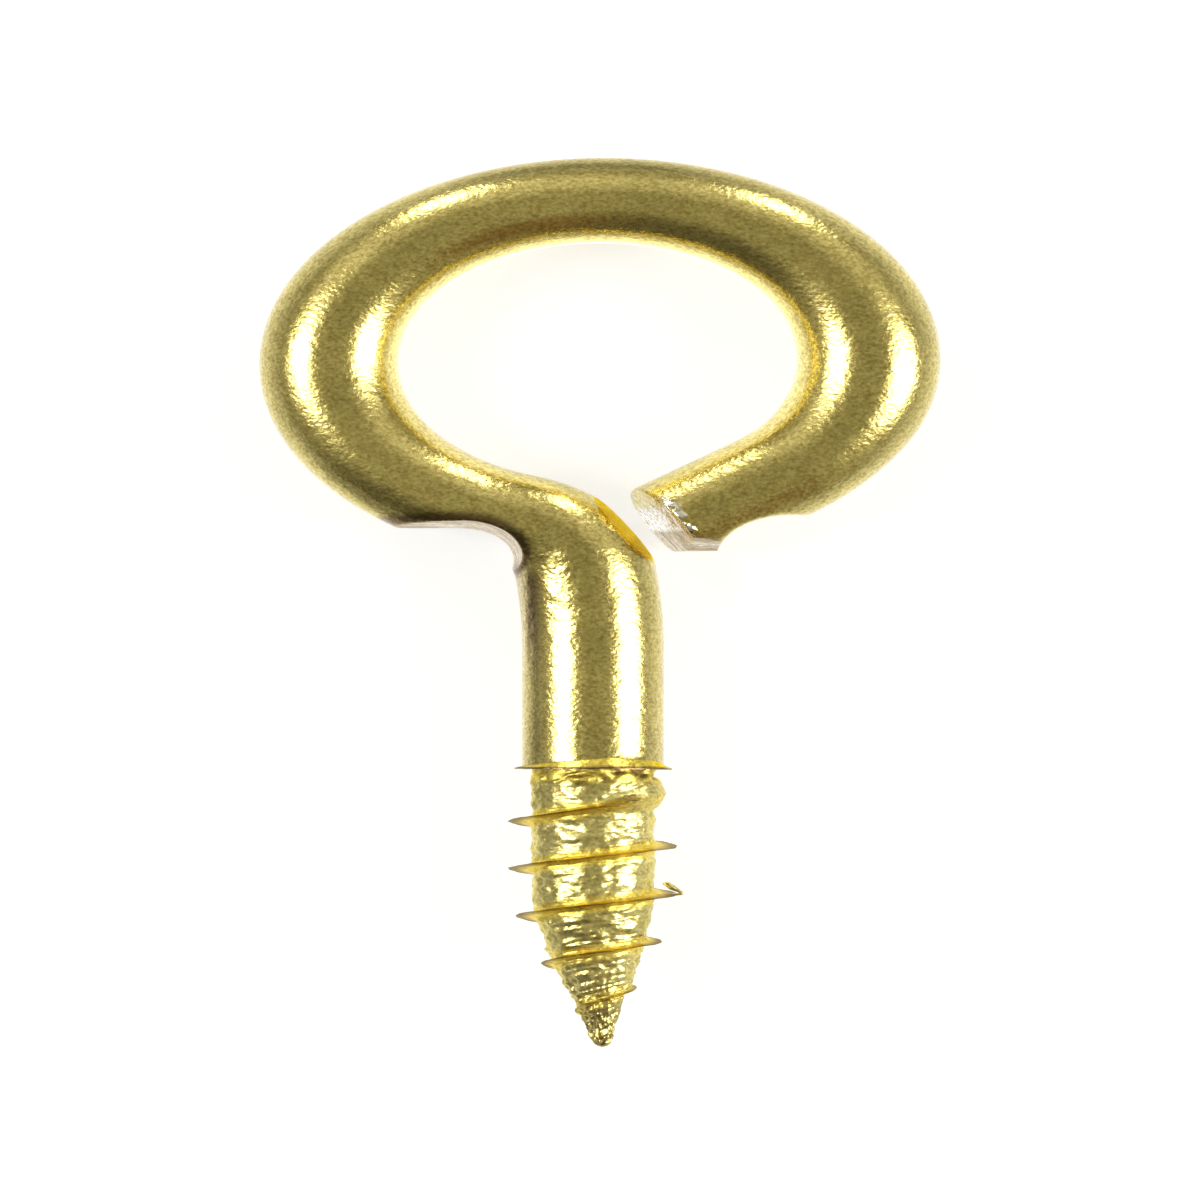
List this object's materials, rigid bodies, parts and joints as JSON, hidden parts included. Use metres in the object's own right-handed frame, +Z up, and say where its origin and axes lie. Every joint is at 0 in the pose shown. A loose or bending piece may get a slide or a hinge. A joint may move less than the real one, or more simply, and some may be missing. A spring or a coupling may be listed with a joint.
{
  "type": "screw eye",
  "caption": "Small screw eye: wire bent into an open round eye on a short shank with a right-hand wood-screw thread and gimlet point.",
  "frame": {"origin": "middle of the bounding box's base, as the piece lies at rest on its side", "axes": "+Y towards the top of the eye and away from the point, +Z up out of the eye's plane, +X to the right of the eye"},
  "size_m": [0.0114, 0.025, 0.0029],
  "materials": {
    "plated_wire": "bright brass plating with a drawn grain"
  },
  "bodies": {
    "root": {"screw_eye": "plated_wire"}
  },
  "joints": []
}
